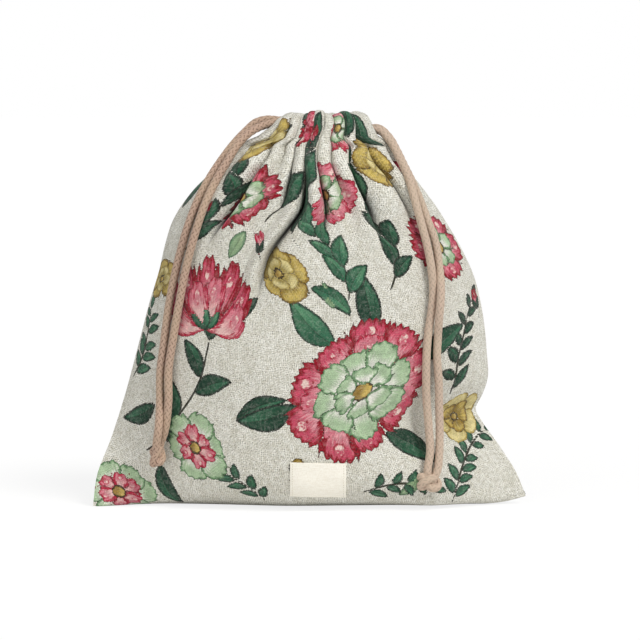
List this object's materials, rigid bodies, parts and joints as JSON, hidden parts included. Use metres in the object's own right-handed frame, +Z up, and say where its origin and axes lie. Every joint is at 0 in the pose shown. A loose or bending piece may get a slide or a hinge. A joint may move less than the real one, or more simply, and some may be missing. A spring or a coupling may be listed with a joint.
{
  "type": "drawstring lunch bag",
  "caption": "Soft linen-cotton drawstring bag, drawn shut into a pleated neck, with braided drawcords knotted at each side and a small sewn label.",
  "frame": {"origin": "middle of the bag's underside, on the surface it stands on", "axes": "+Z up, +X to the bag's right as seen from the front, -Y out of the front, which carries the label"},
  "size_m": [0.2703, 0.1133, 0.2445],
  "materials": {
    "printed_linen": null,
    "cotton_cord": "matte braided cotton",
    "label_tape": "matte cotton tape"
  },
  "bodies": {
    "root": {"front_panel": "printed_linen", "back_panel": "printed_linen", "label": "label_tape", "left_drawcord": "cotton_cord", "right_drawcord": "cotton_cord", "left_knot": "cotton_cord", "right_knot": "cotton_cord"}
  },
  "joints": []
}
